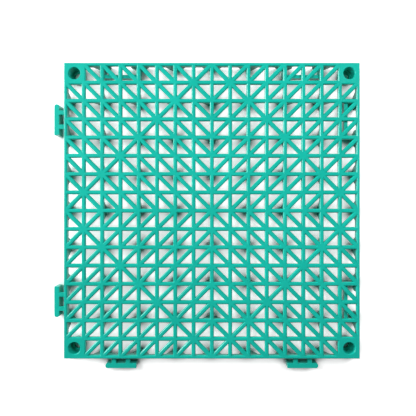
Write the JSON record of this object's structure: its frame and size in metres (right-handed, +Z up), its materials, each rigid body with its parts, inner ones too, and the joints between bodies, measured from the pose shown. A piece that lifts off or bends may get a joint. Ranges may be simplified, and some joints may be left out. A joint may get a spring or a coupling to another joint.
{
  "type": "interlocking floor tile",
  "caption": "Square one-piece plastic drainage floor tile with an open lattice deck on arched ribs, hook tabs on two sides, matching sockets on the others and a sunk screw hole at each corner.",
  "frame": {"origin": "middle of the tile on the floor plane, under the centre foot; the tabs are not counted", "axes": "+Z up through the deck; tabs point along -X and -Y, sockets open along +X and +Y"},
  "size_m": [0.3108, 0.3108, 0.016],
  "materials": {
    "green_plastic": "satin moulded polypropylene, teal green"
  },
  "bodies": {
    "root": {"floor_tile": "green_plastic"}
  },
  "joints": []
}
